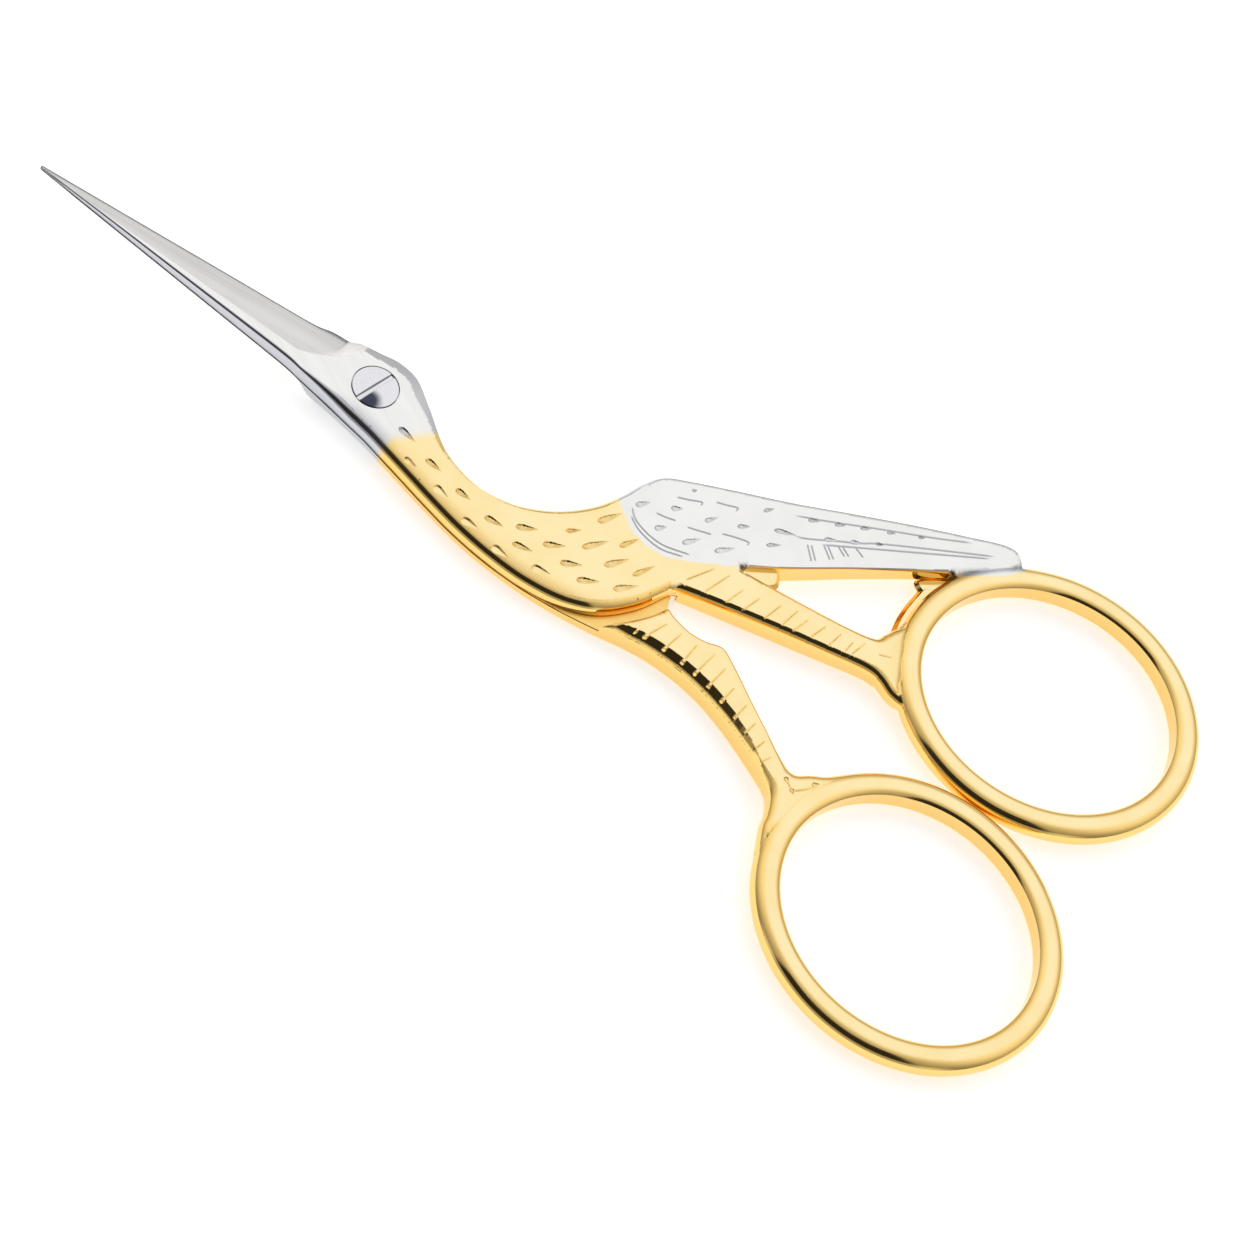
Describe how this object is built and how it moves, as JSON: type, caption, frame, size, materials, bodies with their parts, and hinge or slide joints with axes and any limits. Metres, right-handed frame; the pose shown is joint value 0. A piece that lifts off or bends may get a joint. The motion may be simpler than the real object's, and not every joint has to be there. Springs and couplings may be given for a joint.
{
  "type": "stork embroidery scissors",
  "caption": "Small embroidery scissors in the shape of a stork: pointed ground blades for a beak, a screw for an eye, a wing over one leg and round finger rings.",
  "frame": {"origin": "on the screw's axis, in the plane of the rear half's back face, which the closed scissors lie on", "axes": "+X from the screw to the finger rings, +Y to the ring of the front half, +Z out of the front face, along the screw to its head"},
  "size_m": [0.0899, 0.0424, 0.0025],
  "materials": {
    "gilt_steel": "polished gold plating on body, legs and rings, satin plating on the wing, ground and polished steel on head and blades",
    "screw_steel": "polished"
  },
  "bodies": {
    "rear": {"rear_half": "gilt_steel", "pivot_screw": "screw_steel"},
    "front": {"front_half": "gilt_steel"}
  },
  "joints": [
    {"name": "blade_pivot", "type": "hinge", "parent": "rear", "child": "front", "pos_m": [0, 0, 0.0012], "axis": [0, 0, 1], "range_deg": [0, 65]}
  ]
}
